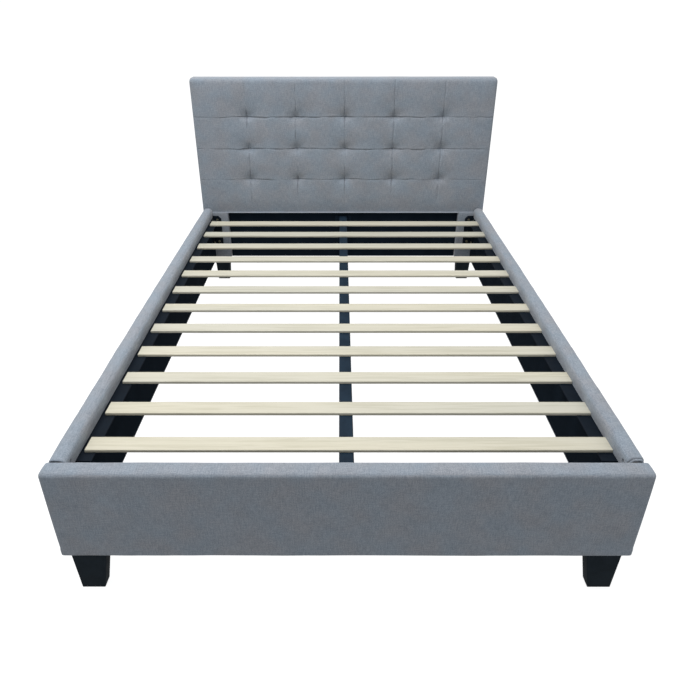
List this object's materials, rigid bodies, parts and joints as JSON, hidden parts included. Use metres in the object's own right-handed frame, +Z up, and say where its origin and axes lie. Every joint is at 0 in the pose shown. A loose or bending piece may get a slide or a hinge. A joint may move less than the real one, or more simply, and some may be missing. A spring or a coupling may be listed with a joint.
{
  "type": "upholstered headboard bed",
  "caption": "Low upholstered platform bed: tufted headboard, padded side rails and footboard, wooden slats on steel ledges and a steel centre rail with legs.",
  "frame": {"origin": "on the floor under the middle of the bed", "axes": "+X to the side, +Y along the bed towards the headboard, +Z up"},
  "size_m": [1.46, 2.032, 1.04],
  "materials": {
    "upholstery": "matte",
    "foam": "matte",
    "plywood": "matte",
    "frame_timber": "matte",
    "slat_wood": "satin",
    "lining": "matte",
    "black_steel": "satin",
    "zinc_steel": "satin",
    "foot_plastic": "satin"
  },
  "bodies": {
    "frame": {"headboard_cover": "upholstery", "headboard_leg_cover_left": "upholstery", "headboard_leg_cover_right": "upholstery", "footboard_cover": "upholstery", "rail_cover_left": "upholstery", "rail_cover_right": "upholstery", "headboard_foam": "foam", "footboard_foam": "foam", "rail_foam_left": "foam", "rail_foam_right": "foam", "headboard_board": "plywood", "footboard_board": "plywood", "rail_board_left": "plywood", "rail_board_right": "plywood", "headboard_top_batten": "frame_timber", "headboard_bottom_batten": "frame_timber", "headboard_post_left": "frame_timber", "headboard_post_right": "frame_timber", "headboard_leg_block_left": "frame_timber", "headboard_leg_block_right": "frame_timber", "slat_01": "slat_wood", "slat_02": "slat_wood", "slat_03": "slat_wood", "slat_04": "slat_wood", "slat_05": "slat_wood", "slat_06": "slat_wood", "slat_07": "slat_wood", "slat_08": "slat_wood", "slat_09": "slat_wood", "slat_10": "slat_wood", "slat_11": "slat_wood", "slat_12": "slat_wood", "headboard_back_lining": "lining", "headboard_cross_panel": "lining", "footboard_lining": "lining", "rail_lining_left": "lining", "rail_lining_right": "lining", "slat_ledge_left": "black_steel", "slat_ledge_right": "black_steel", "ledge_screws": "black_steel", "bracket_head_left": "black_steel", "bracket_head_right": "black_steel", "bracket_foot_left": "black_steel", "bracket_foot_right": "black_steel", "centre_rail": "black_steel", "centre_hanger_head": "black_steel", "centre_hanger_foot": "black_steel", "hanger_screws": "black_steel", "centre_leg_head": "black_steel", "centre_leg_foot": "black_steel", "leg_screws": "black_steel", "bracket_bolts": "zinc_steel", "foot_bolts": "zinc_steel", "tuft_ties": "zinc_steel", "headboard_foot_left": "foot_plastic", "headboard_foot_right": "foot_plastic", "footboard_foot_left": "foot_plastic", "footboard_foot_right": "foot_plastic"},
    "glide_head": {"levelling_glide_head": "foot_plastic"},
    "glide_foot": {"levelling_glide_foot": "foot_plastic"}
  },
  "joints": [
    {"name": "glide_head_height", "type": "slide", "parent": "frame", "child": "glide_head", "axis": [0, 0, 1], "range_m": [-0.008, 0.006]},
    {"name": "glide_foot_height", "type": "slide", "parent": "frame", "child": "glide_foot", "axis": [0, 0, 1], "range_m": [-0.008, 0.006]}
  ]
}
